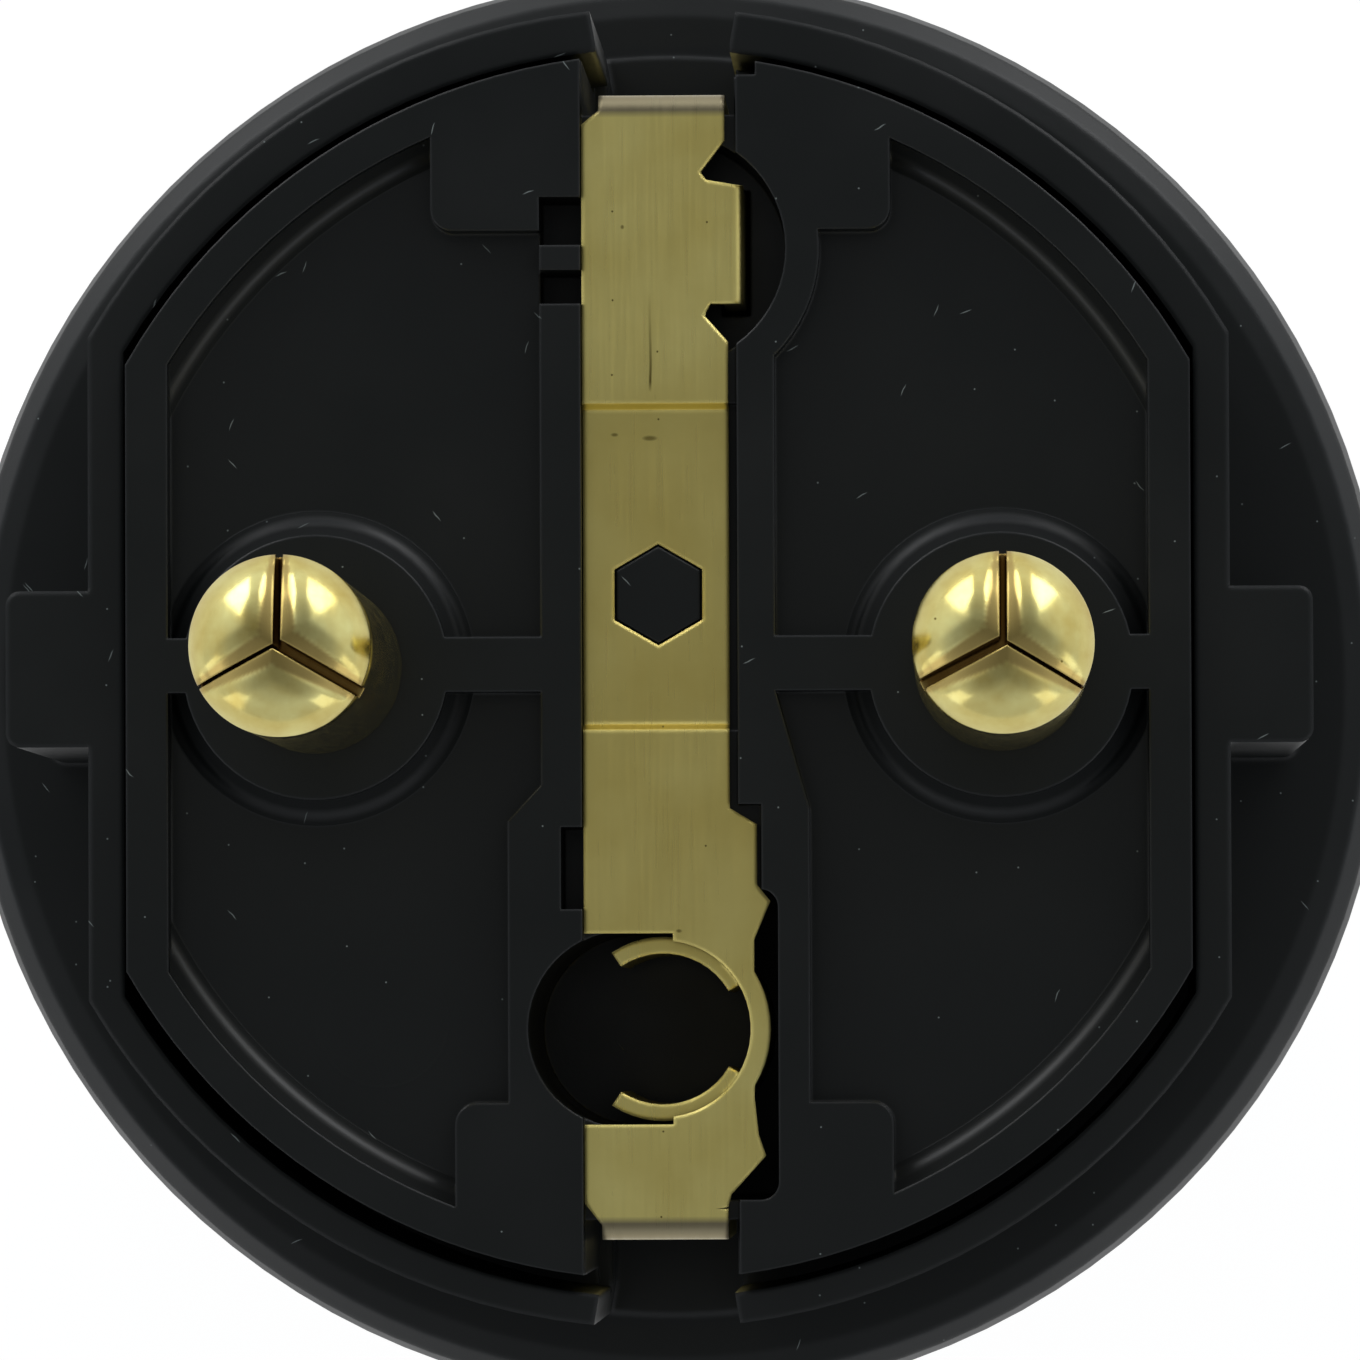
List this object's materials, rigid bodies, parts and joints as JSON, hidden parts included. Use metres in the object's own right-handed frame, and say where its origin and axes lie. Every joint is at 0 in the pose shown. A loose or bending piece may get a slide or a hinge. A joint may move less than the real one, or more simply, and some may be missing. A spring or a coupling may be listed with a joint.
{
  "type": "grounded plug",
  "caption": "Straight black rewirable mains plug with round brass pins, a folded brass earth strip with side contacts and a female earth contact, and a ribbed grip.",
  "frame": {"origin": "centre of the bottom of the bounding box: the middle of the cord end, on which the plug stands", "axes": "+Z runs from the cord end to the pins along the plug's axis, +X from the left pin to the right pin, +Y from the female earth contact towards the centre"},
  "size_m": [0.0418, 0.0418, 0.079],
  "materials": {
    "body_rubber": "satin black soft moulding",
    "insert_plastic": "satin black polyamide",
    "carrier_plastic": "black polyamide",
    "pin_brass": "drawn brass, lightly polished",
    "strip_brass": "rolled and stamped brass",
    "terminal_brass": "machined brass",
    "screw_steel": "zinc-plated steel"
  },
  "bodies": {
    "root": {"outer_body": "body_rubber", "contact_insert": "insert_plastic", "rear_carrier": "carrier_plastic", "cord_clamp_bar": "carrier_plastic", "pin_left": "pin_brass", "pin_right": "pin_brass", "earth_strip": "strip_brass", "terminal_left": "terminal_brass", "terminal_right": "terminal_brass", "terminal_earth": "terminal_brass", "earth_rivet": "terminal_brass", "terminal_screw_left": "screw_steel", "terminal_screw_right": "screw_steel", "terminal_screw_earth": "screw_steel", "carrier_screw_upper": "screw_steel", "carrier_screw_lower": "screw_steel", "clamp_screw_left": "screw_steel", "clamp_screw_right": "screw_steel", "clamp_nut_left": "screw_steel", "clamp_nut_right": "screw_steel"}
  },
  "joints": []
}
